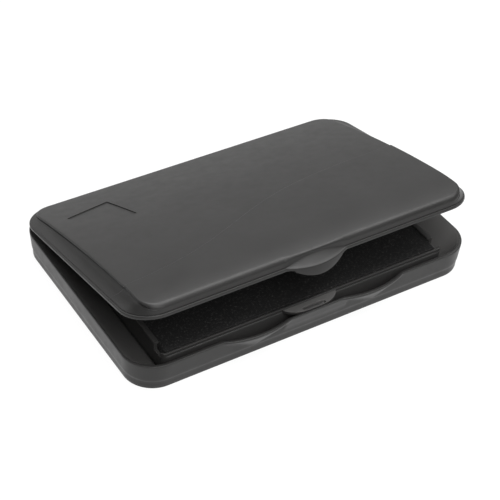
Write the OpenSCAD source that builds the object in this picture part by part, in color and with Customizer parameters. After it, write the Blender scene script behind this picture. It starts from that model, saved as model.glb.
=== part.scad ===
// Ink pad: hinged plastic case with a lift-out tray that holds a felt pad under a woven cover.
// Frame: origin at the middle of the underside, +X along the length, -Y is the tab side, +Z up.
// The lid is drawn part open, at lid_open degrees; every other piece is in its place of use.

/* [Case] */
// Length of the case over its rim
case_l = 134.6; // [132:0.2:140]
// Width of the case over its rim
case_w = 88.4; // [87.4:0.2:92]
// Height of the lower case, from the table to its rim
case_h = 10.4; // [10:0.1:12]
// Plan radius of the case corners
corner_r = 11.4; // [9:0.2:14]
// Thickness of the walls
wall = 1.4; // [1.3:0.05:1.5]
// Thickness of the floor
floor_t = 1.6; // [1.2:0.1:2]

/* [Lid] */
// Angle the lid is drawn at, from closed
lid_open = 12.2; // [0:0.1:60]
// Height of the lid crown over its rim
crown_h = 6.6; // [6:0.1:9]
// Distance the lid sides lean in
side_lean = 3.5; // [2.5:0.1:4.5]
// Width of the thumb tab
tab_w = 24; // [20:0.5:28]
// Reach of the thumb tab past the lid front
tab_out = 3.0; // [2.6:0.1:3.4]

/* [Pad] */
// Length of the inked face
pad_l = 109; // [104:0.5:110]
// Width of the inked face
pad_w = 70; // [66:0.5:71]
// Wall of the tray round the pad
tray_wall = 1.2; // [1:0.05:1.3]

/* [Hinge] */
// Radius of the moulded hinge pins
pin_r = 0.8; // [0.7:0.02:0.9]
// Radial play of the pins in their lugs
pin_play = 0.06; // [0.04:0.01:0.1]

/* [Hidden] */
half_l = case_l / 2;
half_w = case_w / 2;
// lower wall: the outside steps in near the table, and both faces lean a little
step_z = 3.4;
step_in = 0.8;
draft = 0.5;
inner_draft = 0.9;
// the ends slope down inside from the rim to the tray, and are hollow underneath
ramp_foot = pad_l / 2 + 2.1;
ramp_foot_z = 3.4;
ramp_skin = 1.5;
// hinge: axis at the back face, just under the rim, so that the lid swings clear
axis_y = half_w;
axis_z = case_h - 0.7;
barrel_r = 1.7;
lug_in = 40;
lug_out = 45.5;
hinge_gap = 0.3;
// lid rim sits this far over the case rim when closed
rim_gap = 0.15;
lid_z = case_h + rim_gap;
lid_half_l = half_l - 0.3;
lid_back = half_w - 0.15;
lid_front = -half_w;
bead_out = 0.4;
bead_h = 0.9;
top_skin = 1.6;
step_h = 0.35;
// crown: highest at crown_peak of the way from the hinge to the tab side, and how far it
// falls from there to the hinge and to the front edge, as shares of crown_h
crown_peak = 0.74;
crown_back_fall = 0.73;
crown_front_fall = 0.34;
// places of the strips that form the crown, from the hinge to the tab side
crown_t = [0, 0.012, 0.035, 0.1, 0.225, 0.34, 0.45, 0.57, 0.68, 0.79, 0.87, 0.94, 0.965, 0.988, 1];
top_r = 6;
tab_drop = 4.2;
// plain sunk panel at the back left of the lid
panel_x = -45.6;
panel_y = 20.6;
panel_side = 17.2;
panel_turn = 11;
panel_depth = 0.3;
// scallops in the front wall, one each side of the thumb tab
scallop_x = 22;
scallop_half = 14;
scallop_out = 2.95;
scallop_z = 3.6;
scallop_r = (scallop_half * scallop_half + scallop_out * scallop_out) / (2 * scallop_out);
// between the scallops the wall is thinned from inside to let the tray tongue in
mid_half = 12.5;
mid_in = wall - 0.15;
mid_out = 0.9;
// tray
tray_l = pad_l + 0.6 + 2 * tray_wall;
tray_w = pad_w + 0.6 + 2 * tray_wall;
tray_front = -half_w + 4.4;
tray_top = case_h + 0.1;
// flat bars on top of the tray's ends, which also hold the cover down
bar_w = 1.9;
bar_h = 0.5;
notch_l = 4.6;
notch_z = 2.4;
tongue_half = 10.6;
tongue_out = 4.05;
tongue_t = 1.3;
// pad
pad_y = tray_front + tray_w / 2;
pad_bottom = floor_t + 1.2;
cloth_t = 0.5;
cloth_top = case_h - 0.1;

case_grey = [0.20, 0.20, 0.21];
tray_black = [0.07, 0.07, 0.075];
felt_black = [0.03, 0.03, 0.035];

// a wall section swept round a rounded rectangle; the child is the section, its x
// counted outwards from the centre of the corner radius
module swept(l, w, r) {
  for (c = [[1, 1, 0], [-1, 1, 90], [-1, -1, 180], [1, -1, 270]])
    translate([c[0] * (l / 2 - r), c[1] * (w / 2 - r), 0])
      rotate([0, 0, c[2]])
        rotate_extrude(angle = 90, $fn = 72)
          children();
  for (s = [-1, 1]) {
    translate([0, s * (w / 2 - r), 0])
      rotate([90, 0, s * 90])
        linear_extrude(height = l - 2 * r, center = true)
          children();
    translate([s * (l / 2 - r), 0, 0])
      rotate([90, 0, s > 0 ? 0 : 180])
        linear_extrude(height = w - 2 * r, center = true)
          children();
  }
}

module rounded_plate(l, w, r, t) {
  linear_extrude(height = t)
    rounded_outline(l, w, r);
}

module rounded_outline(l, w, r) {
  union() {
    square([l - 2 * r, w], center = true);
    square([l, w - 2 * r], center = true);
    for (x = [-1, 1], y = [-1, 1])
      translate([x * (l / 2 - r), y * (w / 2 - r)])
        circle(r = r, $fn = 72);
  }
}

module case_wall_section() {
  r = corner_r;
  polygon([
    [r - wall - inner_draft, 0],
    [r - step_in - 0.15, 0],
    [r - step_in, step_z - 0.3],
    [r - draft, step_z],
    [r, case_h - 0.5],
    [r - 0.15, case_h - 0.15],
    [r - 0.5, case_h],
    [r - wall + 0.4, case_h],
    [r - wall + 0.1, case_h - 0.1],
    [r - wall, case_h - 0.4],
  ]);
}

// the fill between wall and tray at both ends: all that the sloping hollow leaves
module end_ramps() {
  deep_w = case_w - 2 * (wall + inner_draft);
  difference() {
    translate([0, 0, floor_t - 0.2])
      rounded_plate(case_l - wall - 0.6, case_w - wall - 0.6, corner_r - wall / 2 - 0.3,
                    case_h - floor_t - 0.3);
    hull() {
      translate([0, 0, case_h])
        rounded_plate(case_l - 2 * wall, case_w - 2 * wall, corner_r - wall, 0.1);
      translate([0, 0, ramp_foot_z])
        rounded_plate(2 * ramp_foot, deep_w, 6, 0.1);
    }
    translate([0, 0, floor_t])
      rounded_plate(2 * ramp_foot, deep_w, 6, ramp_foot_z);
  }
}

// room under one end ramp, open below, which leaves an even skin above it
module ramp_pocket() {
  slope = (case_h - ramp_foot_z) / (half_l - wall - ramp_foot);
  x1 = half_l - wall - 1.6;
  x0 = ramp_foot + ramp_skin;
  rotate([90, 0, 0])
    linear_extrude(height = case_w - 2 * corner_r, center = true)
      polygon([
        [x0, -1],
        [x1, -1],
        [x1, ramp_foot_z + (x1 - ramp_foot) * slope - ramp_skin * 1.3],
        [x0, ramp_foot_z + (x0 - ramp_foot) * slope - ramp_skin * 1.3],
      ]);
}

// one swelling of the front wall: a shallow arc at the rim that dies out near the table
module scallop(side, rise) {
  y0 = -half_w + scallop_r - scallop_out;
  hull() {
    intersection() {
      translate([side * scallop_x, y0, case_h - 0.8])
        cylinder(r = scallop_r, h = 0.8 + rise, $fn = 120);
      translate([side * scallop_x - scallop_half, -half_w - 4, case_h - 1])
        cube([2 * scallop_half, 4.2, 2 + rise]);
    }
    translate([side * (scallop_x + 1.5) - 0.2, -half_w + draft + 0.1, scallop_z])
      cube([0.4, 0.4, 0.4]);
  }
}

module hinge_lug(side) {
  translate([side > 0 ? lug_in : -lug_out, 0, 0])
    difference() {
      union() {
        translate([0, axis_y, axis_z])
          rotate([0, 90, 0])
            cylinder(r = barrel_r, h = lug_out - lug_in, $fn = 48);
        rotate([90, 0, 90])
          linear_extrude(height = lug_out - lug_in)
            polygon([
              [axis_y - wall, 5],
              [axis_y - 1, 5],
              [axis_y + barrel_r, axis_z],
              [axis_y - wall, axis_z],
            ]);
      }
      translate([-1, axis_y, axis_z])
        rotate([0, 90, 0])
          cylinder(r = pin_r + pin_play, h = lug_out - lug_in + 2, $fn = 48);
    }
}

// low ribs on the floor behind the tray that keep it from sliding back
module tray_ribs() {
  for (x = [-38, 26])
    translate([x, tray_front + tray_w + 0.2, floor_t - 0.2])
      cube([12, 1.2, 2.2]);
}

// the outer face between the scallops, a little proud at the rim
module mid_face() {
  translate([0, -half_w, 0])
    rotate([90, 0, 90])
      linear_extrude(height = 2 * mid_half, center = true)
        polygon([
          [1.4, step_z + 1],
          [0.4, step_z + 1],
          [-mid_out, case_h - 0.5],
          [-mid_out + 0.3, case_h],
          [1.4, case_h],
        ]);
}

module case_base() {
  color(case_grey)
    union() {
      difference() {
        union() {
          rounded_plate(case_l - 2 * step_in - 0.3, case_w - 2 * step_in - 0.3,
                        corner_r - step_in - 0.15, floor_t);
          swept(case_l, case_w, corner_r)
            case_wall_section();
          end_ramps();
          scallop(-1, 0);
          scallop(1, 0);
          mid_face();
        }
        translate([0, wall, 0])
          scallop(-1, 1);
        translate([0, wall, 0])
          scallop(1, 1);
        translate([-mid_half, -half_w + wall - mid_in, step_z + 2.2])
          cube([2 * mid_half, 3, case_h]);
        translate([-lug_in, axis_y - wall - 0.5, axis_z - barrel_r - hinge_gap])
          cube([2 * lug_in, wall + 3, case_h]);
        for (turn = [0, 180])
          rotate([0, 0, turn])
            ramp_pocket();
        // room for the lugs' bores, run out into the notch between them
        translate([0, axis_y, axis_z])
          rotate([0, 90, 0])
            cylinder(r = pin_r + pin_play + 0.3, h = 2 * lug_out - 0.02, center = true, $fn = 48);
      }
      for (s = [-1, 1])
        hinge_lug(s);
      tray_ribs();
    }
}

function tanh(u) = 1 - 2 / (exp(2 * u) + 1);
// plan line of the shallow step that crosses the lid top
function step_y(x) = -15 + 15.3 * tanh((x + 13) / 32);
function crown(t) =
  crown_h * (t < crown_peak
    ? 1 - crown_back_fall * pow((crown_peak - t) / crown_peak, 1.9)
    : 1 - crown_front_fall * pow((t - crown_peak) / (1 - crown_peak), 3.3));
// how far the top outline is drawn in near its rounded corners
function corner_in(d, r) = d < r ? r - sqrt(r * r - (r - d) * (r - d)) : 0;

// the closed lid as one convex form: a plate at the rim and the crown as strips above it
module lid_form(drop, inset, sink, plate_t) {
  back = lid_back - inset;
  front = lid_front + bead_out + inset;
  reach = back - front;
  hull() {
    translate([0, (back + front) / 2, lid_z - sink])
      rounded_plate(2 * (lid_half_l - bead_out - inset), reach, corner_r - bead_out - inset, plate_t);
    for (t = crown_t) {
      hx = lid_half_l - side_lean - inset - corner_in(min(t, 1 - t) * reach, top_r);
      translate([-hx, back - t * reach - 0.01, lid_z + crown(t) - drop - 0.02])
        cube([2 * hx, 0.02, 0.02]);
    }
  }
}

module lid_step() {
  difference() {
    translate([0, 0, lid_z + 1])
      linear_extrude(height = crown_h)
        polygon(concat(
          [for (x = [-case_l / 2 - 2 : 5 : case_l / 2 + 3]) [x, step_y(x)]],
          [[case_l / 2 + 3, half_w + 3], [-case_l / 2 - 2, half_w + 3]]
        ));
    lid_form(step_h, 0, 0, bead_h);
  }
}

module lid_panel() {
  difference() {
    translate([panel_x, panel_y, lid_z + 1])
      rotate([0, 0, panel_turn])
        linear_extrude(height = crown_h)
          square(panel_side, center = true);
    lid_form(step_h + panel_depth, 0, 0, bead_h);
  }
}

module lid_bead() {
  r = corner_r;
  translate([0, (lid_back + lid_front) / 2, lid_z])
    swept(2 * lid_half_l, lid_back - lid_front, r)
      polygon([
        [r - wall, 0],
        [r - 0.2, 0],
        [r, 0.2],
        [r, bead_h - 0.2],
        [r - bead_out - 0.1, bead_h],
        [r - wall, bead_h],
      ]);
}

// thumb tab: bowed in plan, hollowed on top, and hanging a little below the lid rim
module thumb_tab() {
  bow_r = (tab_w * tab_w / 4 + tab_out * tab_out) / (2 * tab_out);
  sag_half = tab_w / 2 - 0.5;
  sag_r = (sag_half * sag_half + tab_drop * tab_drop) / (2 * tab_drop);
  difference() {
    intersection() {
      translate([0, lid_front - tab_out + bow_r, lid_z - tab_drop])
        cylinder(r = bow_r, h = tab_drop + 5, $fn = 120);
      translate([0, lid_front + 2, lid_z - tab_drop + sag_r])
        rotate([90, 0, 0])
          cylinder(r = sag_r, h = tab_out + 4, $fn = 120);
      translate([0, lid_front, lid_z])
        rotate([90, 0, 90])
          linear_extrude(height = tab_w, center = true)
            polygon([
              [1.2, -tab_drop - 1],
              [1.2, 3.4],
              [0.3, 3.4],
              [-0.4, 2.2],
              [-1.2, 1.2],
              [-2.1, 0.4],
              [-tab_out, -0.2],
              [-tab_out - 1, -0.7],
              [-tab_out - 1, -tab_drop - 1],
            ]);
    }
    translate([-tab_w, lid_front - mid_out - 0.25, lid_z - tab_drop - 1])
      cube([2 * tab_w, 5, tab_drop + 1]);
  }
}

module lid_closed() {
  difference() {
    union() {
      difference() {
        union() {
          lid_form(0, 0, 0, bead_h);
          lid_bead();
        }
        lid_form(top_skin, wall - bead_out, 1, 1.1);
        lid_step();
        lid_panel();
      }
      thumb_tab();
      translate([0, axis_y, axis_z])
        rotate([0, 90, 0])
          cylinder(r = barrel_r, h = 2 * (lug_in - hinge_gap), center = true, $fn = 48);
    }
    for (s = [-1, 1])
      translate([s * (lug_in + lug_out) / 2, axis_y, axis_z])
        rotate([0, 90, 0])
          cylinder(r = barrel_r + 0.35, h = lug_out - lug_in + 2 * hinge_gap, center = true, $fn = 48);
  }
  translate([0, axis_y, axis_z])
    rotate([0, 90, 0])
      cylinder(r = pin_r, h = 2 * (lug_out - 1), center = true, $fn = 48);
}

module lid_shell() {
  color(case_grey)
    translate([0, axis_y, axis_z])
      rotate([-lid_open, 0, 0])
        translate([0, -axis_y, -axis_z])
          lid_closed();
}

// the tray lifts out by its tongue; its ends are notched beside the corners
module tray_box() {
  difference() {
    union() {
      translate([0, pad_y, floor_t])
        rounded_plate(tray_l, tray_w, 1.5, tray_top - floor_t);
      translate([0, tray_front + 0.2, tray_top - 0.2 - tongue_t])
        linear_extrude(height = tongue_t)
          polygon([
            [-tongue_half, 0],
            [-tongue_half + 2.4, -2.9],
            [-tongue_half + 5, -tongue_out - 0.2],
            [tongue_half - 5, -tongue_out - 0.2],
            [tongue_half - 2.4, -2.9],
            [tongue_half, 0],
          ]);
    }
    translate([-pad_l / 2 - 0.3, pad_y - pad_w / 2 - 0.3, pad_bottom])
      cube([pad_l + 0.6, pad_w + 0.6, case_h]);
    for (s = [-1, 1], y = [tray_front + tray_wall, tray_front + tray_w - tray_wall - notch_l])
      translate([s > 0 ? tray_l / 2 - tray_wall - 0.1 : -tray_l / 2 - 0.1, y, tray_top - notch_z])
        cube([tray_wall + 0.2, notch_l, notch_z + 2]);
    // oblong finger mark in the tongue
    translate([0, tray_front - 3, tray_top - 0.75])
      linear_extrude(height = 1) {
        square([7.6, 1.3], center = true);
        for (x = [-3.8, 3.8])
          translate([x, 0])
            circle(r = 0.65, $fn = 32);
      }
  }
}

module pad_tray() {
  bar_l = tray_w - 2 * (tray_wall + notch_l);
  bar_z = cloth_top + 0.05;
  color(tray_black)
    union() {
      tray_box();
      for (s = [-1, 1])
        translate([s > 0 ? tray_l / 2 - bar_w : -tray_l / 2, pad_y - bar_l / 2, bar_z])
          cube([bar_w, bar_l, tray_top + bar_h - bar_z]);
    }
}

module felt_core() {
  color(felt_black)
    translate([0, pad_y, pad_bottom])
      rounded_plate(pad_l - 0.8, pad_w - 0.8, 1, cloth_top - cloth_t - 0.1 - pad_bottom);
}

// woven cover: a plain cap over the felt, tucked down between felt and tray
module ink_cloth() {
  color(felt_black)
    difference() {
      translate([0, pad_y, pad_bottom + 0.3])
        rounded_plate(pad_l + 0.3, pad_w + 0.3, 1.2, cloth_top - pad_bottom - 0.3);
      translate([0, pad_y, pad_bottom])
        rounded_plate(pad_l - 0.4, pad_w - 0.4, 1, cloth_top - cloth_t - pad_bottom);
    }
}

case_base();
lid_shell();
pad_tray();
felt_core();
ink_cloth();
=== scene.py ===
"""Looks of the ink pad: moulded case, hinged lid, lift-out tray, felt and its woven cover.

Every piece is built in millimetres in the frame of the CAD model, and mesh_object makes it metres.
The lid is built shut and then turned about its hinge to the angle at which the CAD model rests.
"""

import math

import bmesh
import bpy
import numpy as np
from mathutils import Matrix, Vector


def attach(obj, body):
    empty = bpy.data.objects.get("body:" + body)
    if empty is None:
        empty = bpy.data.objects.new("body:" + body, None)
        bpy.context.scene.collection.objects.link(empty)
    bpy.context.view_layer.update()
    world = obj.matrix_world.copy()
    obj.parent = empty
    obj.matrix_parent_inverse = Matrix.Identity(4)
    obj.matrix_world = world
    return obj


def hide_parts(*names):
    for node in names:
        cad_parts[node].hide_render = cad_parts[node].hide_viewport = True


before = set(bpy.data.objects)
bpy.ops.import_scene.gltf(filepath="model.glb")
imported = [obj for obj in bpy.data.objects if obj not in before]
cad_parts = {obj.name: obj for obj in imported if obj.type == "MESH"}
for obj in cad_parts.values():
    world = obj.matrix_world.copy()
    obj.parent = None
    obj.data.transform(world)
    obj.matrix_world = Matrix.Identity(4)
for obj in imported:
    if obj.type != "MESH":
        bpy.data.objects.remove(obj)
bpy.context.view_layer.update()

MM = 0.001

# ---------------------------------------------------------------- sizes, in millimetres
CASE_HALF_L = 67.3
CASE_HALF_W = 44.2
CASE_H = 10.4
CORNER_R = 11.4
WALL = 1.4
FLOOR_T = 1.6
RAMP_FOOT = 56.6  # the ends slope down inside from the rim to here
RAMP_FOOT_Z = 3.4
RAMP_FOOT_R = 6.0  # corners of the hollow at the feet of the ramps
HOLLOW_LEAN = 0.9  # the hollow is this much narrower there, front and back
HOLLOW_ROUND = 0.55  # rounding between the rim and the hollow
RIM_R = 0.25
RIM_END = 0.55  # width of the rim at the ends, where the ramps start
RAMP_SKIN = 1.5
STEP_Z = 3.4  # the case wall steps in below this height

HINGE = np.array([0.0, CASE_HALF_W, CASE_H - 0.7])
BARREL_R = 1.7
PIN_R = 0.8
BORE_R = 0.86
LUG_IN = 40.0
LUG_OUT = 45.5
HINGE_GAP = 0.3

LID_Z = CASE_H + 0.15  # underside of the shut lid's rim
LID_HALF_L = CASE_HALF_L - 0.3
LID_FRONT = -CASE_HALF_W
LID_BACK = CASE_HALF_W - 0.15
BEAD_H = 1.2
BEAD_OUT = 0.4
BEAD_SPREAD = 0.3  # the bead's top is this much wider at the ends
BEAD_ROUND = 0.24
GROOVE = 0.22  # depth of the fine groove over the bead
SIDE_LEAN = 4.4
TOP_R = 6.5
LID_WALL = 1.6
EDGE_R = 1.5  # rounding between the lid's top and its front and back
END_EDGE_R = 0.6
CREASE = 0.8  # depth of the fine line under the top's edge at the ends
TOP_SKIN = 1.6
CEILING_IN = TOP_SKIN + 1.2  # the ceiling's edge, in from the edge of the lid's top
CEILING_R = 0.8
CROWN_H = 6.6
LID_OPEN = math.radians(12.2)

STEP_H = 0.35  # the shallow step that crosses the lid's top
STEP_W = 0.22
STEP_ROWS = STEP_W * np.array([-1.0, -0.5, 0, 0.5, 1.0])
PANEL_X = -45.6  # the plain square panel sunk into the lid's top
PANEL_Y = 20.6
PANEL_SIDE = 17.2
PANEL_TURN = math.radians(11)
PANEL_DEPTH = 0.3

TAB_HALF = 11.8
TAB_OUT = 2.75
TAB_DROP = 3.6
TAB_DROP_HALF = 10.2  # half the length over which the tab hangs below the rim
TAB_GAP = 0.2
TAB_LIP = 0.3
TAB_INNER = 1.15  # the tab's inner face, out from the lid front

SCALLOP_X = 22.0
SCALLOP_HALF = 14.0
SCALLOP_OUT = 2.95
SCALLOP_Z = 3.6
MID_HALF = 12.5
MID_OUT = 0.9
BULGE_BLEND = 0.25

PAD_L = 109.0
PAD_W = 70.0
PAD_R = 1.4
COVER_OUT = 0.15  # the cover's outside, out from the sides of the pad
CLOTH_T = 0.35
FELT_IN = 0.4
TRAY_WALL = 1.2
TRAY_R = 1.5
TRAY_HALF_L = PAD_L / 2 + 0.3 + TRAY_WALL
TRAY_FRONT = -CASE_HALF_W + 4.4
TRAY_BACK = TRAY_FRONT + PAD_W + 0.6 + 2 * TRAY_WALL
TRAY_TOP = CASE_H + 0.1
PAD_Y = (TRAY_FRONT + TRAY_BACK) / 2
PAD_BOTTOM = FLOOR_T + 1.2
PAD_TOP = CASE_H - 0.1
BAR_W = 1.9  # bars on top of the tray's ends
BAR_H = 0.5
NOTCH_LEN = 4.6
NOTCH_DEPTH = 2.4
LIP_H = 0.95  # lip along the tray's front, with a fine groove under it
TONGUE_HALF = 10.6
TONGUE_OUT = 4.05
TONGUE_Z = TRAY_TOP - 0.2
MARK_DEPTH = 0.4


# ---------------------------------------------------------------- small maths
def smooth(t):
    """0 below 0, 1 above 1, and a smooth turn between."""
    t = np.clip(t, 0, 1)
    return t * t * (3 - 2 * t)


def mix(a, b, t):
    return a + (b - a) * t


def smooth_max(a, b, width):
    """The larger of a and b, blended where they are nearly equal."""
    h = np.clip(0.5 + 0.5 * (a - b) / width, 0, 1)
    return mix(b, a, h) + width * h * (1 - h)


# ---------------------------------------------------------------- outlines and lofts
FIXED_REACH = 48.0  # columns nearer the middle than this keep their place in every ring


def spaced(least, *runs):
    """The values of all the runs in order, without those nearer than least to the one before."""
    values = np.unique(np.concatenate(runs).round(3))
    kept = [values[0]]
    for value in values[1:]:
        if value - kept[-1] > least:
            kept.append(value)
    return kept


class Outline:
    """The points round a rounded rectangle, kept as columns, rows and corner steps.

    Every ring of a loft comes from the same Outline, so that its points line up with the next
    ring's. The ring starts halfway round the front left corner and runs along the front, the
    right side, the back and the left side.
    """

    def __init__(self, columns, rows_left, rows_right, corner_steps=8):
        self.columns = np.asarray(columns, float)
        self.rows_left = np.asarray(rows_left, float)
        self.rows_right = np.asarray(rows_right, float)
        self.half = corner_steps // 2  # corner steps before the first column or row
        turn = np.radians(np.linspace(0, 45, self.half + 1))
        self.nx = len(self.columns) + 2 * self.half - 1
        self.ny = len(self.rows_left) + 2 * self.half - 1
        kinds = []
        down, right, up, left = np.radians([270, 0, 90, 180])

        def arc(sx, sy, angles):
            kinds.extend(("arc", sx, sy, a) for a in angles)

        def side(name, values):
            kinds.extend((name, v, 0, 0) for v in values)

        arc(-1, -1, down - turn[:0:-1])
        side("front", self.columns)
        arc(1, -1, down + turn[1:])
        arc(1, -1, right - turn[-2:0:-1])
        side("right", self.rows_right)
        arc(1, 1, right + turn[1:])
        arc(1, 1, up - turn[-2:0:-1])
        side("back", self.columns[::-1])
        arc(-1, 1, up + turn[1:])
        arc(-1, 1, left - turn[-2:0:-1])
        side("left", self.rows_left[::-1])
        arc(-1, -1, left + turn[1:-1])
        self.kinds = kinds
        self.count = len(kinds)

    def ring(self, half_x, front, back, radius):
        """Plan points and outward normals of one rounded rectangle."""
        points = np.zeros((self.count, 2))
        normals = np.zeros((self.count, 2))
        reach_x = half_x - radius
        low, high = front + radius, back - radius
        columns_reach = np.abs(self.columns).max()
        for i, (kind, a, b, angle) in enumerate(self.kinds):
            if kind == "arc":
                normal = (math.cos(angle), math.sin(angle))
                centre = (a * reach_x, low if b < 0 else high)
                points[i] = (centre[0] + radius * normal[0], centre[1] + radius * normal[1])
            elif kind in ("front", "back"):
                inner = min(columns_reach, FIXED_REACH)
                spread = max(abs(a) - inner, 0) / max(columns_reach - inner, 1e-9)
                x = a + math.copysign(spread, a) * (reach_x - columns_reach)
                normal = (0, -1 if kind == "front" else 1)
                points[i] = (x, front if kind == "front" else back)
            else:
                rows = self.rows_left if kind == "left" else self.rows_right
                share = (a - rows[0]) / (rows[-1] - rows[0])
                normal = (-1 if kind == "left" else 1, 0)
                points[i] = (half_x * normal[0], mix(low, high, share))
            normals[i] = normal
        return points, normals

    def mask(self, kind):
        return np.array([k[0] == kind for k in self.kinds])

    def sides(self, ring):
        """Splits a ring of points into its front, right, back and left runs, corners included."""
        nx, ny = self.nx, self.ny
        closed = np.vstack([ring, ring[:1]])
        front = closed[: nx + 1]
        right = closed[nx : nx + ny + 1]
        back = closed[nx + ny : 2 * nx + ny + 1][::-1]
        left = closed[2 * nx + ny : 2 * nx + 2 * ny + 1][::-1]
        return front, right, back, left

    def fill(self, ring, height, guide=None):
        """A grid of points inside a ring. guide = (first row, row offsets, line) makes some rows
        follow y = line(x) + offset, and the other rows spread evenly on both sides of them."""
        front, right, back, left = self.sides(ring)
        share_x = (front[:, 0] - front[0, 0]) / (front[-1, 0] - front[0, 0])
        x = left[None, :, 0] + (right[:, 0] - left[:, 0])[None, :] * share_x[:, None]
        y = np.zeros_like(x)
        low, high = front[:, 1], back[:, 1]

        def spread(lo, hi, j0, j1):
            """Rows j0 to j1 run from lo to hi, spaced as they are on the left and right sides."""
            for j in range(j0, j1 + 1):
                a = (left[j, 1] - left[j0, 1]) / (left[j1, 1] - left[j0, 1])
                b = (right[j, 1] - right[j0, 1]) / (right[j1, 1] - right[j0, 1])
                y[:, j] = lo + (hi - lo) * mix(a, b, share_x)

        if guide is None:
            spread(low, high, 0, self.ny)
        else:
            first, offsets, line = guide
            last = first + len(offsets) - 1
            for k, offset in enumerate(offsets):
                y[:, first + k] = line(x[:, first + k]) + offset
            spread(low, y[:, first].copy(), 0, first)
            spread(y[:, last].copy(), high, last, self.ny)
        grid = np.stack([x, y, height(x, y)], -1)
        grid[:, 0], grid[:, -1] = front, back
        grid[0, :], grid[-1, :] = left, right
        return grid


def level(z):
    """A height function for Outline.fill: flat at z."""
    return lambda x, y: np.full_like(x, z)


def loft(outline, rings, start_grid, end_grid):
    """Points and faces of a closed body: a patch, rings joined one to the next, and a patch."""
    n = outline.count
    points = [np.asarray(r) for r in rings]
    faces = []
    for k in range(len(rings) - 1):
        a, b = k * n, (k + 1) * n
        for i in range(n):
            j = (i + 1) % n
            faces.append((a + i, a + j, b + j, b + i))
    total = len(rings) * n
    for grid, first, flip in ((start_grid, 0, True), (end_grid, (len(rings) - 1) * n, False)):
        nx, ny = outline.nx, outline.ny
        index = np.zeros((nx + 1, ny + 1), int)
        ring_ids = np.arange(first, first + n)
        front, right, back, left = outline.sides(ring_ids[:, None])
        index[:, 0], index[:, -1] = front[:, 0], back[:, 0]
        index[0, :], index[-1, :] = left[:, 0], right[:, 0]
        inner = (nx - 1) * (ny - 1)
        index[1:-1, 1:-1] = np.arange(total, total + inner).reshape(nx - 1, ny - 1)
        points.append(grid[1:-1, 1:-1].reshape(-1, 3))
        total += inner
        for i in range(nx):
            for j in range(ny):
                quad = (index[i, j], index[i + 1, j], index[i + 1, j + 1], index[i, j + 1])
                faces.append(quad[::-1] if flip else quad)
    return np.vstack(points), faces


def spin(profile, centre, steps, closed):
    """Turns a list of (x, radius) about the line through centre parallel to X."""
    points, faces = [], []
    count = len(profile)
    for k in range(steps):
        angle = 2 * math.pi * k / steps
        points += [(x, r * math.cos(angle), r * math.sin(angle)) for x, r in profile]
    for k in range(steps):
        a = k * count
        b = ((k + 1) % steps) * count
        for i in range(count if closed else count - 1):
            j = (i + 1) % count
            faces.append((a + i, a + j, b + j, b + i))
    return np.array(points) + np.asarray(centre), faces


def rod(half, radius, edge, steps=40):
    """A capped bar along X with rounded ends, on the hinge line."""
    profile = [(-half, radius - edge)]
    for k in range(1, 4):
        a = math.pi / 2 * k / 3
        profile.append((-half + edge * (1 - math.cos(a)), radius - edge * (1 - math.sin(a))))
    profile += [(-x, r) for x, r in profile[::-1]]
    points, faces = spin(profile, HINGE, steps, closed=False)
    count = len(profile)
    faces.append(tuple(k * count for k in range(steps)))
    faces.append(tuple(k * count + count - 1 for k in range(steps))[::-1])
    return points, faces


def prism(outline_yz, x0, x1):
    """A closed bar along X whose section is a list of (y, z) points."""
    n = len(outline_yz)
    points = [(x, y, z) for x in (x0, x1) for y, z in outline_yz]
    faces = [(i, (i + 1) % n, n + (i + 1) % n, n + i) for i in range(n)]
    faces += [tuple(range(n))[::-1], tuple(range(n, 2 * n))]
    return np.array(points), faces


# ---------------------------------------------------------------- Blender objects
def mesh_object(name, points, faces):
    mesh = bpy.data.meshes.new(name)
    mesh.from_pydata((np.asarray(points) * MM).tolist(), [], [tuple(map(int, f)) for f in faces])
    mesh.validate()
    made = bpy.data.objects.new(name, mesh)
    bpy.context.scene.collection.objects.link(made)
    outward(made)
    return made


def outward(obj):
    """Turns every face of a closed mesh outwards."""
    work = bmesh.new()
    work.from_mesh(obj.data)
    bmesh.ops.recalc_face_normals(work, faces=work.faces)
    work.to_mesh(obj.data)
    work.free()


def combine(target, tool, operation):
    """Joins tool to target, or cuts it away, and removes tool."""
    step = target.modifiers.new("combine", "BOOLEAN")
    step.operation = operation
    step.solver = "EXACT"
    step.object = tool
    bake(target)
    bpy.data.objects.remove(tool)


def drop_slivers(obj, fewest=12):
    """Removes the loose scraps of fewer faces that a boolean may leave where faces coincide."""
    work = bmesh.new()
    work.from_mesh(obj.data)
    unseen = set(work.faces)
    scraps = []
    while unseen:
        island, queue = [], [unseen.pop()]
        while queue:
            face = queue.pop()
            island.append(face)
            for edge in face.edges:
                for other in edge.link_faces:
                    if other in unseen:
                        unseen.discard(other)
                        queue.append(other)
        if len(island) < fewest:
            scraps += island
    bmesh.ops.delete(work, geom=scraps, context="FACES")
    work.to_mesh(obj.data)
    work.free()


def bake(obj):
    """Replaces obj's mesh with what its modifiers make of it."""
    bpy.context.view_layer.update()
    graph = bpy.context.evaluated_depsgraph_get()
    made = bpy.data.meshes.new_from_object(obj.evaluated_get(graph))
    obj.modifiers.clear()
    old = obj.data
    obj.data = made
    bpy.data.meshes.remove(old)


def shade(obj, angle=38):
    """Smooth shading, with creases sharper than angle kept."""
    for p in obj.data.polygons:
        p.use_smooth = True
    obj.data.set_sharp_from_angle(angle=math.radians(angle))


def finish_piece(obj, material, body, node):
    drop_slivers(obj)
    obj.data.materials.clear()
    obj.data.materials.append(material)
    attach(obj, body)
    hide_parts(node)
    return obj


# ---------------------------------------------------------------- materials
SLOPE_PAINTED_LIGHT = 0.08  # greys of the painted light on the slopes inside the ends and on the tongue's top face
TONGUE_PAINTED_LIGHT = 0.115


def nodes_of(name):
    material = bpy.data.materials.new(name)
    material.use_nodes = True
    tree = material.node_tree
    shader = tree.nodes["Principled BSDF"]
    place = tree.nodes.new("ShaderNodeTexCoord")
    return material, tree, shader, place.outputs["Object"]


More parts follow.
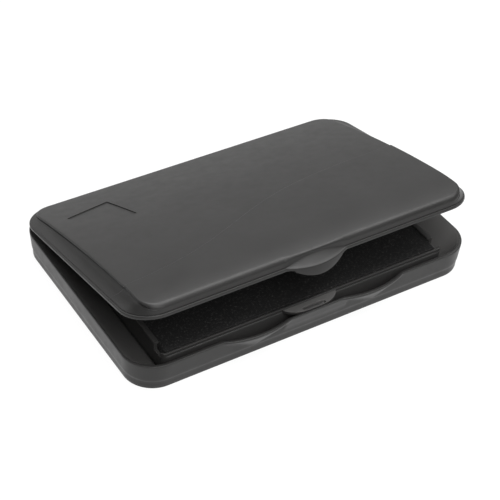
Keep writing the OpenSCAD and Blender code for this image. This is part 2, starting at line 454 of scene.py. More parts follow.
def noise(tree, place, scale, detail=2.0, rough=0.5):
    made = tree.nodes.new("ShaderNodeTexNoise")
    made.inputs["Scale"].default_value = scale
    made.inputs["Detail"].default_value = detail
    made.inputs["Roughness"].default_value = rough
    tree.links.new(place, made.inputs["Vector"])
    return made.outputs["Fac"]


def ramp(tree, value, low, high, start=0.3, end=0.7):
    """Colours or greys from low to high as value goes from start to end."""
    made = tree.nodes.new("ShaderNodeValToRGB")
    made.color_ramp.elements[0].position = start
    made.color_ramp.elements[1].position = end
    made.color_ramp.elements[0].color = (*low, 1) if hasattr(low, "__len__") else (low, low, low, 1)
    made.color_ramp.elements[1].color = (*high, 1) if hasattr(high, "__len__") else (high, high, high, 1)
    tree.links.new(value, made.inputs["Fac"])
    return made.outputs["Color"]


def bump(tree, shader, height, distance, strength, below=None):
    made = tree.nodes.new("ShaderNodeBump")
    made.inputs["Distance"].default_value = distance
    made.inputs["Strength"].default_value = strength
    tree.links.new(height, made.inputs["Height"])
    if below is not None:
        tree.links.new(below, made.inputs["Normal"])
    tree.links.new(made.outputs["Normal"], shader.inputs["Normal"])
    return made.outputs["Normal"]


def grey(value):
    """Nearly neutral grey, a little warm."""
    return value * 1.02, value, value * 0.98


def part_of(tree, place, axis, start, end):
    """A mask from 0 to 1 as the coordinate of place along axis goes from start to end."""
    split = tree.nodes.new("ShaderNodeSeparateXYZ")
    tree.links.new(place, split.inputs[0])
    span = tree.nodes.new("ShaderNodeMapRange")
    span.inputs["From Min"].default_value = start
    span.inputs["From Max"].default_value = end
    tree.links.new(split.outputs[axis], span.inputs["Value"])
    return span.outputs["Result"]


def combined(tree, operation, first, second):
    """Two masks in one: MULTIPLY keeps where both are, MAXIMUM where either is."""
    made = tree.nodes.new("ShaderNodeMath")
    made.operation = operation
    tree.links.new(first, made.inputs[0])
    tree.links.new(second, made.inputs[1])
    return made.outputs[0]


def paint_lighter(tree, shader, mask, colour):
    """Paints light in: lightens the base colour to colour where mask is 1."""
    base = shader.inputs["Base Color"].links[0].from_socket
    blend = tree.nodes.new("ShaderNodeMix")
    blend.data_type = "RGBA"
    first, second = [s for s in blend.inputs if s.type == "RGBA"]
    second.default_value = (*colour, 1)
    tree.links.new(mask, blend.inputs["Factor"])
    tree.links.new(base, first)
    mixed = [s for s in blend.outputs if s.type == "RGBA"][0]
    tree.links.new(mixed, shader.inputs["Base Color"])


def painted_light_on_slopes(material):
    """Painted light: the slopes inside the two ends of the case, where they face inward and up, are painted
    lighter.
    """
    tree = material.node_tree
    shader = tree.nodes["Principled BSDF"]
    coordinates = tree.nodes["Texture Coordinate"]
    place, facing = coordinates.outputs["Object"], coordinates.outputs["Normal"]
    start = (RAMP_FOOT - 0.4) * MM
    end = (RAMP_FOOT + 0.6) * MM
    slopes = []
    for side in (-1, 1):
        beyond = part_of(tree, place, "X", side * start, side * end)
        inward = part_of(tree, facing, "X", -0.3 * side, -0.5 * side)
        slopes.append(combined(tree, "MULTIPLY", beyond, inward))
    upward = part_of(tree, facing, "Z", 0.3, 0.5)
    mask = combined(tree, "MULTIPLY", combined(tree, "MAXIMUM", *slopes), upward)
    paint_lighter(tree, shader, mask, grey(SLOPE_PAINTED_LIGHT))


def painted_light_on_tongue(material):
    """Painted light: the tongue's top face is painted lighter; its sunk mark is left dark."""
    tree = material.node_tree
    shader = tree.nodes["Principled BSDF"]
    place = tree.nodes["Texture Coordinate"].outputs["Object"]
    tongue = part_of(tree, place, "Y", (TRAY_FRONT - 0.1) * MM, (TRAY_FRONT - 0.5) * MM)
    face = part_of(tree, place, "Z", (TONGUE_Z - 0.2) * MM, (TONGUE_Z - 0.03) * MM)
    paint_lighter(tree, shader, combined(tree, "MULTIPLY", tongue, face), grey(TONGUE_PAINTED_LIGHT))


def moulded_plastic(name, dark, light, rough_low, rough_high, grain):
    """Plastic from a spark-eroded mould: faint mottling, uneven sheen and a fine grain."""
    material, tree, shader, place = nodes_of(name)
    patches = noise(tree, place, 55, 3)
    tree.links.new(ramp(tree, patches, grey(dark), grey(light)), shader.inputs["Base Color"])
    sheen = noise(tree, place, 260, 4)
    tree.links.new(ramp(tree, sheen, rough_low, rough_high), shader.inputs["Roughness"])
    waves = bump(tree, shader, noise(tree, place, 120, 2), 0.00004, 0.35)
    bump(tree, shader, noise(tree, place, 3800, 2, 0.6), 0.00002, grain, waves)
    shader.inputs["IOR"].default_value = 1.5
    shader.inputs["Specular IOR Level"].default_value = 0.3
    return material


def woven_cloth(name):
    """Fine plain weave soaked with black ink: two crossed sets of threads and dry specks."""
    material, tree, shader, place = nodes_of(name)
    threads = []
    for direction in ("X", "Y"):
        wave = tree.nodes.new("ShaderNodeTexWave")
        wave.wave_type = "BANDS"
        wave.bands_direction = direction
        wave.inputs["Scale"].default_value = 520
        wave.inputs["Distortion"].default_value = 1.2
        wave.inputs["Detail"].default_value = 2
        wave.inputs["Detail Scale"].default_value = 3
        tree.links.new(place, wave.inputs["Vector"])
        threads.append(wave.outputs["Fac"])
    weave = combined(tree, "MULTIPLY", *threads)
    specks = noise(tree, place, 1500, 4, 0.75)
    tree.links.new(ramp(tree, specks, (0.003, 0.003, 0.003), (0.085, 0.083, 0.08), 0.54, 0.74),
                   shader.inputs["Base Color"])
    soft = bump(tree, shader, noise(tree, place, 380, 3), 0.00012, 0.5)
    bump(tree, shader, weave, 0.00008, 0.8, soft)
    shader.inputs["Roughness"].default_value = 0.85
    shader.inputs["Sheen Weight"].default_value = 0.05
    shader.inputs["Sheen Roughness"].default_value = 0.5
    return material


def dense_felt(name):
    material, tree, shader, place = nodes_of(name)
    fibres = noise(tree, place, 900, 6, 0.75)
    tree.links.new(ramp(tree, fibres, (0.008, 0.008, 0.009), (0.04, 0.04, 0.042)),
                   shader.inputs["Base Color"])
    bump(tree, shader, fibres, 0.0003, 0.7)
    shader.inputs["Roughness"].default_value = 0.95
    return material


lid_plastic = moulded_plastic("lid_plastic", 0.023, 0.027, 0.36, 0.44, 0.3)
case_plastic = moulded_plastic("case_plastic", 0.023, 0.027, 0.36, 0.44, 0.3)
# painted light on the slopes inside the ends of the case
painted_light_on_slopes(case_plastic)
tray_plastic = moulded_plastic("tray_plastic", 0.049, 0.057, 0.36, 0.44, 0.3)
# painted light on the tongue's top face
painted_light_on_tongue(tray_plastic)
cloth = woven_cloth("ink_cloth")
felt = dense_felt("felt")


# ---------------------------------------------------------------- lid
def crown(y):
    """Height of the lid top over its rim, from the hinge side to the tab side."""
    t = (LID_BACK - y) / (LID_BACK - LID_FRONT - BEAD_OUT)
    t = np.clip(t, 0, 1)
    peak = 0.74
    back = 1 - 0.73 * (np.maximum(peak - t, 0) / peak) ** 1.9
    front = 1 - 0.34 * (np.maximum(t - peak, 0) / (1 - peak)) ** 3.3
    return CROWN_H * np.where(t < peak, back, front)


def step_line(x):
    """Plan line of the shallow step that crosses the lid top."""
    return -15 + 15.3 * np.tanh((x + 13) / 32)


def lid_top(x, y):
    """Height of the lid's upper skin: crown, and the tab side proud of the hinge side."""
    proud = smooth((step_line(x) - y) / (2 * STEP_W) + 0.5)
    return LID_Z + crown(y) - STEP_H * (1 - proud)


def lid_under(x, y):
    skin = np.minimum(TOP_SKIN, crown(y) - 0.5)
    return LID_Z + crown(y) - skin - STEP_H


def slab(name, low, high):
    """A closed block between two grids of points of the same shape."""
    n, m = low.shape[:2]
    shift = n * m
    faces = []
    for i in range(n - 1):
        for j in range(m - 1):
            quad = (i * m + j, (i + 1) * m + j, (i + 1) * m + j + 1, i * m + j + 1)
            faces += [quad[::-1], tuple(q + shift for q in quad)]
    border = [i * m for i in range(n)] + [(n - 1) * m + j for j in range(1, m)]
    border += [i * m + m - 1 for i in range(n - 2, -1, -1)] + list(range(m - 2, 0, -1))
    for a, b in zip(border, border[1:] + border[:1]):
        faces.append((a, b, b + shift, a + shift))
    return mesh_object(name, np.vstack([low.reshape(-1, 3), high.reshape(-1, 3)]), faces)


def panel_cutter():
    """A square block whose underside follows the lid top: it sinks a plain panel into the lid."""
    line = np.linspace(-PANEL_SIDE / 2, PANEL_SIDE / 2, 13)
    c = math.cos(PANEL_TURN)
    s = math.sin(PANEL_TURN)
    u, v = np.meshgrid(line, line, indexing="ij")
    x = PANEL_X + u * c - v * s
    y = PANEL_Y + u * s + v * c
    z = lid_top(x, y)
    return slab("panel", np.stack([x, y, z - PANEL_DEPTH], -1), np.stack([x, y, z + 1], -1))


def lid_outline():
    """The lid's outline, and the number of its rows in front of the step across the top."""
    straight = LID_HALF_L - CORNER_R - 0.3
    columns = spaced(0.15, np.linspace(-straight, straight, 87),
                     np.linspace(-TAB_HALF - 1, TAB_HALF + 1, 40), [-TAB_HALF, TAB_HALF])
    top_low, top_high = LID_FRONT + BEAD_OUT + TOP_R, LID_BACK - TOP_R
    rows = []
    for x in (-LID_HALF_L + SIDE_LEAN, LID_HALF_L - SIDE_LEAN):
        line = float(step_line(x))
        front_rows = np.linspace(top_low, line - 1.5 * STEP_W, 16)
        back_rows = np.linspace(line + 1.5 * STEP_W, top_high, 36)
        rows.append(np.concatenate([front_rows, line + STEP_ROWS, back_rows]))
    return Outline(columns, *rows, 12), len(front_rows)


class LidRings:
    """The rings of the lid's loft, from its ceiling down to the rim and up outside to its top.

    The tab is a swelling of the front run of the rings: bow is how far it stands out, and drop
    its height from the rim, which is below 0. leaf and in_tab are 0 past the tab's ends. leaf
    rises from them as half an ellipse, and in_tab is soon 1. lip is the height of the edge over
    the bead and over the tab.
    """

    def __init__(self):
        self.shape, self.rows_before_step = lid_outline()
        self.front = self.shape.mask("front")
        plan, self.outward = self.rim(0.0)
        x = np.where(self.front, plan[:, 0], 99.0)
        share = np.clip(1 - (x / TAB_HALF) ** 2, 0, 1)
        self.bow = TAB_OUT * share
        self.leaf = np.sqrt(share)
        self.in_tab = smooth(self.bow / 0.5)
        self.drop = -TAB_DROP * np.clip(1 - (x / TAB_DROP_HALF) ** 2, 0, 1)
        self.lip = mix(BEAD_H, TAB_LIP, share)
        self.spread = BEAD_SPREAD * self.outward[:, 0] ** 2
        self.edge_plan, self.edge_outward = self.top(0)
        edge_z = lid_top(self.edge_plan[:, 0], self.edge_plan[:, 1]) - LID_Z
        self.end_share = self.edge_outward[:, 0] ** 2
        rounding = np.minimum(mix(EDGE_R, END_EDGE_R, self.end_share), 0.7 * (edge_z - BEAD_H))
        self.fillet = rounding * (1 - 0.6 * self.leaf)
        self.wall_top = edge_z - self.fillet

    def rim(self, inset):
        return self.shape.ring(LID_HALF_L - inset, LID_FRONT + inset, LID_BACK - inset, CORNER_R - inset)

    def top(self, inset):
        return self.shape.ring(LID_HALF_L - SIDE_LEAN - inset, LID_FRONT + BEAD_OUT + inset,
                               LID_BACK - 0.25 - inset, TOP_R - inset)

    def at(self, plan, z, out=0.0):
        """A ring at height z over the rim, pushed out of the front by out."""
        points = np.zeros((self.shape.count, 3))
        points[:, :2] = plan[0]
        points[:, 1] -= np.where(self.front, out, 0)
        points[:, 2] = LID_Z + z
        return points

    def inner_side(self):
        """From the ceiling, round its edge and down to the rim."""
        ceiling = self.at(self.top(CEILING_IN), 0)
        ceiling[:, 2] = lid_under(ceiling[:, 0], ceiling[:, 1])
        rings = [ceiling]
        for k in (1, 2, 3):
            a = math.pi / 2 * k / 3
            ring = self.at(self.top(CEILING_IN - CEILING_R * math.sin(a)), 0)
            fall = CEILING_R * (1 - math.cos(a)) * smooth((ceiling[:, 2] - LID_Z) / 2)
            ring[:, 2] = lid_under(ring[:, 0], ring[:, 1]) - fall
            rings.append(ring)
        lower = self.at(self.rim(LID_WALL), 0.12)
        return rings + [mix(rings[-1], lower, f) for f in (0.33, 0.66, 1.0)]

    def flat_rim(self):
        """The flat rim, with the tab's inner face let down from it, and the tab's foot."""
        def inner_face(inset, z, further, thickness):
            out = inset + np.minimum(TAB_INNER + further, self.bow - thickness)
            return self.at(self.rim(inset), z, self.in_tab * out)

        return [
            self.at(self.rim(LID_WALL - 0.12), 0.0),
            inner_face(1.3, 0.0, 0.0, 0.6),
            inner_face(1.1, self.drop + 0.15 * self.in_tab, 0.05, 0.5),
            inner_face(0.9, self.drop, 0.2, 0.4),
            self.at(self.rim(0.3), self.drop, self.bow),
            self.at(self.rim(0.08), self.drop + 0.06, self.bow),
            self.at(self.rim(0.0), self.drop + 0.25, self.bow),
        ]

    def bead(self):
        """The outer face of the bead and of the tab, and the rounding up to the lip."""
        rings = [self.at(self.rim(0.0), mix(self.drop + 0.25, self.lip - 0.3, 0.5), self.bow)]
        for inset, below in ((0.0, 0.45), (0.03, 0.24), (0.11, 0.08), (BEAD_ROUND, 0.0)):
            ring = self.at(self.rim(inset), self.lip - below, self.bow)
            ring[:, :2] -= self.outward * (self.spread * inset / BEAD_ROUND)[:, None]
            rings.append(ring)
        return rings

    def scoop(self):
        """The scoop over the tab; elsewhere these rings make the fine groove over the bead."""
        start = self.at(self.rim(0.3), self.lip, self.bow)
        foot = self.at(self.rim(BEAD_OUT), 0)
        for ring in (start, foot):
            ring[:, :2] -= self.outward * self.spread[:, None]
        over_tab = self.lip + (0.86 * self.wall_top - self.lip) * self.leaf
        brow = np.maximum(mix(self.lip, self.wall_top, 0.1), over_tab)
        rings = []
        for k in range(1, 9):
            a = math.pi / 2 * k / 8
            ring = mix(start, foot, math.sin(a))
            inward = GROOVE * math.sin(math.pi * k / 9) * (1 - self.in_tab) * (1 - 0.8 * self.end_share)
            ring[:, :2] -= self.outward * inward[:, None]
            climb = mix(1 - math.cos(a), 0.9 * math.sin(a) + 0.1 * (1 - math.cos(a)), self.leaf)
            ring[:, 2] = LID_Z + mix(self.lip, brow, climb)
            rings.append(ring)
        return rings

    def coved_side(self, last):
        """From the ring last up to the top edge, with a fine line under it at the ends."""
        rings = []
        for f in (0.1, 0.2, 0.32, 0.44, 0.56, 0.66, 0.75, 0.82, 0.87, 0.9, 0.93, 0.96, 0.98, 1.0):
            ring = mix(last, np.column_stack([self.edge_plan, LID_Z + self.wall_top]), f)
            ring[:, :2] = mix(last[:, :2], self.edge_plan, 1 - (1 - f) ** 1.7)
            crease = CREASE * self.end_share * math.exp(-(((f - 0.9) / 0.1) ** 2))
            ring[:, :2] -= self.edge_outward * crease[:, None]
            rings.append(ring)
        return rings

    def top_edge(self):
        """The rounding into the lid's top."""
        rings = []
        for k in range(1, 9):
            a = math.pi / 2 * k / 8
            plan = self.edge_plan - self.edge_outward * (self.fillet * (1 - math.cos(a)))[:, None]
            z = lid_top(plan[:, 0], plan[:, 1]) - self.fillet * (1 - math.sin(a))
            rings.append(np.column_stack([plan, z]))
        return rings


def make_lid():
    form = LidRings()
    rings = form.inner_side() + form.flat_rim() + form.bead() + form.scoop()
    rings += form.coved_side(rings[-1])
    rings += form.top_edge()
    guide = (form.shape.half + form.rows_before_step, STEP_ROWS, step_line)
    top_grid = form.shape.fill(rings[-1], lid_top, guide)
    under_grid = form.shape.fill(rings[0], lid_under)
    lid = mesh_object("lid", *loft(form.shape, rings, under_grid, top_grid))
    for side in (-1, 1):
        cut, cut_faces = rod((LUG_OUT - LUG_IN) / 2 + HINGE_GAP, BARREL_R + 0.35, 0.02)
        cut[:, 0] += side * (LUG_IN + LUG_OUT) / 2
        combine(lid, mesh_object("notch", cut, cut_faces), "DIFFERENCE")
    combine(lid, panel_cutter(), "DIFFERENCE")
    combine(lid, case_front_cutter(), "DIFFERENCE")
    combine(lid, mesh_object("barrel", *rod(LUG_IN - HINGE_GAP, BARREL_R, 0.2)), "UNION")
    combine(lid, mesh_object("pins", *rod(LUG_OUT - 1, PIN_R, 0.15)), "UNION")
    return lid


def case_front_cutter():
    """The room that the case's front takes behind the shut tab, with a gap all round."""
    xs = np.linspace(-13, 13, 79)
    zs = np.array([4.0, 5.5, 7.0, 8.0, 8.8, 9.4, 9.8, CASE_H + 0.03])
    grid_x, grid_z = np.meshgrid(xs, zs, indexing="ij")
    swell = front_bulge(grid_x, np.minimum(grid_z, CASE_H - 0.8))
    front = np.stack([grid_x, -CASE_HALF_W - swell - TAB_GAP, grid_z], -1)
    back = front.copy()
    back[..., 1] = -CASE_HALF_W + 3
    return slab("front_room", front, back)


def open_lid(obj):
    """Turns the shut lid to the angle at which the CAD model rests."""
    hinge = Vector(HINGE * MM)
    turn = Matrix.Translation(hinge) @ Matrix.Rotation(-LID_OPEN, 4, "X") @ Matrix.Translation(-hinge)
    obj.data.transform(turn)


# ---------------------------------------------------------------- case
def scallop_bulge(x, z, centre):
    """How far one scallop swells the front wall: an arc at the rim that shrinks to a point."""
    rise = np.clip((z - SCALLOP_Z) / (CASE_H - 0.8 - SCALLOP_Z), 0.001, 1)
    radius = (SCALLOP_HALF ** 2 + SCALLOP_OUT ** 2) / (2 * SCALLOP_OUT)
    along = (x - mix(centre + math.copysign(1.5, centre), centre, rise)) / rise
    arc = np.sqrt(np.maximum(radius ** 2 - along ** 2, 0)) - (radius - SCALLOP_OUT)
    return rise * np.where(np.abs(along) < SCALLOP_HALF + 2, arc, -5)


def front_bulge(x, z):
    """How far the outside of the front wall stands out at x and height z."""
    middle = MID_OUT * np.clip((z - STEP_Z - 1) / (CASE_H - 0.5 - STEP_Z - 1), 0, 1)
    bulge = middle * smooth((MID_HALF + 0.6 - np.abs(x)) / 1.2)
    for side in (-1, 1):
        bulge = smooth_max(bulge, scallop_bulge(x, z, side * SCALLOP_X), BULGE_BLEND)
    blend_rise = BULGE_BLEND / 4  # the most that smooth_max adds; low bulges lose it again
    return np.where(z > SCALLOP_Z, np.maximum(bulge - blend_rise * (bulge < 0.3), 0), 0)


def front_hollow(x, z):
    """How far the inside of the front wall is set back at x and height z."""
    bulge = np.zeros_like(x)
    for side in (-1, 1):
        bulge = np.maximum(bulge, scallop_bulge(x, z, side * SCALLOP_X))
    recess = (WALL - 0.15) * smooth((MID_HALF - np.abs(x)) / 0.5) * smooth((z - 5.4) / 0.5)
    return np.maximum(bulge, recess)


def make_case():
    straight = CASE_HALF_L - CORNER_R - 0.3
    swollen = SCALLOP_X + SCALLOP_HALF + 2
    edges = [s * v for s in (-1, 1) for v in (LUG_IN + 0.06, LUG_IN + 0.14, MID_HALF, MID_HALF - 0.5)]
    columns = spaced(0.07, np.linspace(-straight, straight, 89), np.linspace(-swollen, swollen, 109), edges)
    rows = np.linspace(CORNER_R - CASE_HALF_W, CASE_HALF_W - CORNER_R, 46)
    shape = Outline(columns, rows, rows, 20)
    front, back = shape.mask("front"), shape.mask("back")

    def at(offset, z, outer=True):
        plan = shape.ring(CASE_HALF_L + offset, -CASE_HALF_W - offset, CASE_HALF_W + offset,
                          CORNER_R + offset)[0]
        points = np.zeros((shape.count, 3))
        points[:, :2] = plan
        x = points[:, 0]
        heights = np.full(shape.count, float(z))
        notch = back & (np.abs(x) < LUG_IN + 0.1)
        cut = HINGE[2] - BARREL_R - HINGE_GAP
        lowered = 5 + (heights - 5) * (cut - 5) / (CASE_H - 5)
        out = front_bulge(x, heights) if outer else front_hollow(x, heights)
        points[:, 1] -= np.where(front, out, 0)
        points[:, 2] = np.where(notch & (heights > 5), lowered, heights)
        return points

    def hollow(sink):
        """A ring of the hollow, sink mm below the rim: it narrows down to the feet of the ramps."""
        share = min(sink / (CASE_H - RAMP_FOOT_Z), 1)
        wide = at(-WALL, CASE_H - sink, False)
        rounding = HOLLOW_ROUND * (1 - math.sqrt(1 - max(1 - sink / HOLLOW_ROUND, 0) ** 2))
        half_w = CASE_HALF_W - WALL - HOLLOW_LEAN * share + rounding
        half_x = mix(CASE_HALF_L - RIM_END, RAMP_FOOT, share)
        plan = shape.ring(half_x, -half_w, half_w, mix(CORNER_R - RIM_END, RAMP_FOOT_R, share))[0]
        wide[:, 0] = plan[:, 0]
        wide[:, 1] = plan[:, 1] - np.where(front, front_hollow(plan[:, 0], wide[:, 2]), 0)
        return wide

    rings = [at(-2.4, 0), at(-1.2, 0), at(-0.92, 0.07), at(-0.85, 0.3)]
    rings += [at(mix(-0.85, -0.76, f), mix(0.3, 2.95, f)) for f in (0.5, 1)]
    rings += [at(-0.73, 3.05), at(-0.68, 3.2), at(-0.61, 3.4), at(-0.54, 3.66)]
    rings += [at(-0.5 + 0.5 * f, mix(3.7, CASE_H - 0.6, f)) for f in np.linspace(0.04, 1, 12)]
    for k in range(4):
        a = math.pi / 2 * k / 3
        rings.append(at(-RIM_R * (1 - math.cos(a)), CASE_H - RIM_R + RIM_R * math.sin(a)))
    rings += [hollow(v) for v in (0.0, 0.04, 0.12, 0.25, 0.4)]
    rings += [hollow(v) for v in np.linspace(0.6, CASE_H - RAMP_FOOT_Z - 0.3, 14)]
    foot = hollow(CASE_H - RAMP_FOOT_Z)
    for drop, inset in ((0.0, 0.0), (0.3, 0.0), (1.5, 0.1), (1.7, 0.25), (1.8, 0.5)):
        ring = foot.copy()
        ring[:, 2] = RAMP_FOOT_Z - drop
        ring[:, 0] *= 1 - inset / RAMP_FOOT
        ring[:, 1] *= 1 - inset / CASE_HALF_W
        rings.append(ring)
    bottom = shape.fill(rings[0], level(0.0))
    floor = shape.fill(rings[-1], level(FLOOR_T))
    case = mesh_object("case", *loft(shape, rings, bottom, floor))
    for side in (-1, 1):
        combine(case, ramp_pocket(side), "DIFFERENCE")
    relief, relief_faces = rod(LUG_OUT - 0.01, BORE_R + 0.3, 0.01)
    combine(case, mesh_object("relief", relief, relief_faces), "DIFFERENCE")
    for side in (-1, 1):
        for part in lug_parts(side):
            combine(case, part, "UNION")
    for part in tray_ribs():
        combine(case, part, "UNION")
    return case


def lug_parts(side):
    """One hinge lug: a short tube on the hinge line and the web that carries it."""
    lo, hi = sorted((side * LUG_IN, side * LUG_OUT))
    edge = 0.18
    profile = [
        (lo, BORE_R), (lo, BARREL_R - edge), (lo + edge * 0.3, BARREL_R - edge * 0.3), (lo + edge, BARREL_R),
        (hi - edge, BARREL_R), (hi - edge * 0.3, BARREL_R - edge * 0.3), (hi, BARREL_R - edge), (hi, BORE_R),
    ]
    tube = mesh_object("tube", *spin(profile, HINGE, 48, closed=True))
    y, z = HINGE[1], HINGE[2]
    web_section = [(y - 1.3, 5.2), (y - 0.9, 5.2), (y + 1.62, z - 0.5), (y + 1.0, z - 1.0), (y, z - 1.15),
                   (y - 1.0, z - 0.9), (y - 1.3, z - 0.9)]
    web_x = sorted((side * (LUG_IN + 0.25), side * (LUG_OUT - 0.05)))
    web = mesh_object("web", *prism(web_section, *web_x))
    return [web, tube]


def soft_block(x0, x1, y0, y1, z0, z1, edge=0.2):
    """A closed block with chamfered upright and top edges."""
    def ring(inset, z):
        a, b, c, d = x0 + inset, x1 - inset, y0 + inset, y1 - inset
        e = edge
        return [(a + e, c, z), (b - e, c, z), (b, c + e, z), (b, d - e, z),
                (b - e, d, z), (a + e, d, z), (a, d - e, z), (a, c + e, z)]
    points = ring(0, z0) + ring(0, z1 - edge) + ring(edge * 0.3, z1 - edge * 0.3) + ring(edge, z1)
    faces = [tuple(range(8))[::-1], tuple(range(24, 32))]
    for k in range(3):
        for i in range(8):
            j = (i + 1) % 8
            faces.append((8 * k + i, 8 * k + j, 8 * k + 8 + j, 8 * k + 8 + i))
    return np.array(points), faces


def tray_ribs():
    """Low ribs on the floor behind the tray that keep it from sliding back."""
    low, high = FLOOR_T - 0.2, FLOOR_T + 2
    y0, y1 = TRAY_BACK + 0.2, TRAY_BACK + 1.4
    return [mesh_object("rib", *soft_block(x, x + 12, y0, y1, low, high)) for x in (-38, 26)]


def ramp_pocket(side):
    """The hollow under one end ramp, open below, which leaves an even skin above it."""
    slope = (CASE_H - RAMP_FOOT_Z) / (CASE_HALF_L - WALL - RAMP_FOOT)
    x0, x1 = RAMP_FOOT + RAMP_SKIN, CASE_HALF_L - WALL - 1.6
    half = CASE_HALF_W - CORNER_R

    def roof(x):
        return RAMP_FOOT_Z + (x - RAMP_FOOT) * slope - 1.3 * RAMP_SKIN

    section = [(x0, -1), (x1, -1), (x1, roof(x1)), (x0, roof(x0))]
    points = [(side * x, y, z) for y in (-half, half) for x, z in section]
    faces = [(i, (i + 1) % 4, 4 + (i + 1) % 4, 4 + i) for i in range(4)] + [(3, 2, 1, 0), (4, 5, 6, 7)]
    return mesh_object("pocket", np.array(points), faces)


# ---------------------------------------------------------------- tray
def make_tray():
    """An open box: the rim is notched beside its corners, and the ends carry flat bars."""
    start, end = TRAY_FRONT + TRAY_WALL + 0.07, TRAY_BACK - TRAY_WALL - 0.07
    notches = [(start, start + NOTCH_LEN), (end - NOTCH_LEN, end)]
    columns = np.linspace(-TRAY_HALF_L + TRAY_R, TRAY_HALF_L - TRAY_R, 90)
    rows = np.linspace(TRAY_FRONT + TRAY_R, TRAY_BACK - TRAY_R, 40)
    shape = Outline(columns, rows, rows, 8)
    front = shape.mask("front")

    def at(inset, z, out=0.0):
        radius = max(TRAY_R - inset, 0.25)
        plan = shape.ring(TRAY_HALF_L - inset, TRAY_FRONT + inset, TRAY_BACK - inset, radius)[0]
        points = np.column_stack([plan, np.full(shape.count, z)])
        points[:, 1] -= np.where(front, out, 0)
        return points

    top = TRAY_TOP
    groove = top - LIP_H
    rings = [at(0.5, FLOOR_T), at(0.15, FLOOR_T), at(0.0, FLOOR_T + 0.15, 0.45)]
    rings += [at(0, mix(FLOOR_T + 0.2, groove - 0.45, f), mix(0.45, 0.1, f)) for f in (0.3, 0.6, 0.9, 1.0)]
    for drop, out in ((0.34, 0.0), (0.28, -0.3), (0.05, -0.3), (0.0, 0.0)):
        rings.append(at(0, groove - drop, out))
    rounding = ((0, 0.25), (0.03, 0.1), (0.11, 0.02), (0.2, 0))
    inward_slope = ((0.4, 0.03), (0.6, 0.12), (0.9, 0.3), (1.15, 0.5), (TRAY_WALL, 0.6))
    rings += [at(inset, top - drop) for inset, drop in rounding + inward_slope]
    rings += [at(TRAY_WALL, z) for z in (8, 5, PAD_BOTTOM + 0.3)]
    rings += [at(TRAY_WALL + 0.1, PAD_BOTTOM + 0.08), at(TRAY_WALL + 0.3, PAD_BOTTOM)]
    outside = shape.fill(rings[0], level(FLOOR_T))
    inside = shape.fill(rings[-1], level(PAD_BOTTOM))
    tray = mesh_object("tray", *loft(shape, rings, outside, inside))
    for side in (-1, 1):
        for y0, y1 in notches:
            x0, x1 = sorted((side * (TRAY_HALF_L - TRAY_WALL - 0.2), side * (TRAY_HALF_L + 0.3)))
            cutter = soft_block(x0, x1, y0, y1, top - NOTCH_DEPTH, top + 1)
            combine(tray, mesh_object("notch", *cutter), "DIFFERENCE")
        x0, x1 = sorted((side * (TRAY_HALF_L - BAR_W), side * TRAY_HALF_L))
        bar = soft_block(x0, x1, notches[0][1], notches[1][0], top - 0.4, top + BAR_H)
        combine(tray, mesh_object("bar", *bar), "UNION")
    combine(tray, make_tongue(), "UNION")
    return tray


def make_tongue():
    """The lift tongue: a thin plate with a bowed front and an oblong finger mark."""
    across = np.linspace(-1, 1, 105)
    along = np.linspace(0, 1, 25)
    thick = 1.3
    edge = 0.22

    def reach(x):
        return 0.2 + (TONGUE_OUT - 0.1) * (1 - np.abs(x / TONGUE_HALF) ** 3.4) ** 0.8

    def mark(x, y):
        end = np.maximum(np.abs(x) - 3.7, 0)
        distance = np.sqrt(end ** 2 + (y - (TRAY_FRONT - 3.0)) ** 2)
        ring = smooth((0.8 - distance) / 0.14) - 0.5 * smooth((0.38 - distance) / 0.14)
        return MARK_DEPTH * ring

    share, depth = np.meshgrid(across, along, indexing="ij")
    x = share * TONGUE_HALF
    far = reach(x)
    y = TRAY_FRONT + 0.35 - depth * (far + 0.349)
    past = np.maximum(1 - (y - (TRAY_FRONT - far)) / edge, 0)
    fall = edge * (1 - np.sqrt(np.maximum(1 - past ** 2, 0)))
    top = np.stack([x, y, TONGUE_Z - fall - mark(x, y)], -1)
    bottom = np.stack([x, y, TONGUE_Z - thick + fall], -1)
    return slab("tongue", bottom, top)


# ---------------------------------------------------------------- pad
def pad_outline(columns, rows, reach):
    """An outline of the pad whose columns and rows stop reach mm short of its sides."""
    half_l, half_w = PAD_L / 2 - reach, PAD_W / 2 - reach
    rows_at = np.linspace(PAD_Y - half_w, PAD_Y + half_w, rows)
    return Outline(np.linspace(-half_l, half_l, columns), rows_at, rows_at, 8)


def pad_ring(shape, out, inset, z):
    """A ring at height z, inset mm inside the pad's sides moved out by out."""
    beyond = out - inset
    plan = shape.ring(PAD_L / 2 + beyond, PAD_Y - PAD_W / 2 - beyond, PAD_Y + PAD_W / 2 + beyond,
                      max(PAD_R - inset, 0.4))[0]
    return np.column_stack([plan, np.full(shape.count, float(z))])


def cloth_top(x, y):
    """The inked face: nearly flat, a little lower at its edges, with faint slack in the cloth."""
    edge = np.minimum(PAD_L / 2 + COVER_OUT - np.abs(x), PAD_W / 2 + COVER_OUT - np.abs(y - PAD_Y))
    swell = -0.35 * np.exp(-np.maximum(edge, 0) / 2.2)
    slack = 0.05 * np.sin(x / 5.3 + 0.7 * np.sin(y / 7.1)) * np.sin(y / 6.1 + 0.9)
    slack += 0.025 * np.sin(x / 2.1 + y / 3.3) * np.sin(y / 2.7 - x / 4.9)
    return PAD_TOP - 0.1 + swell + slack * smooth(edge / 3)


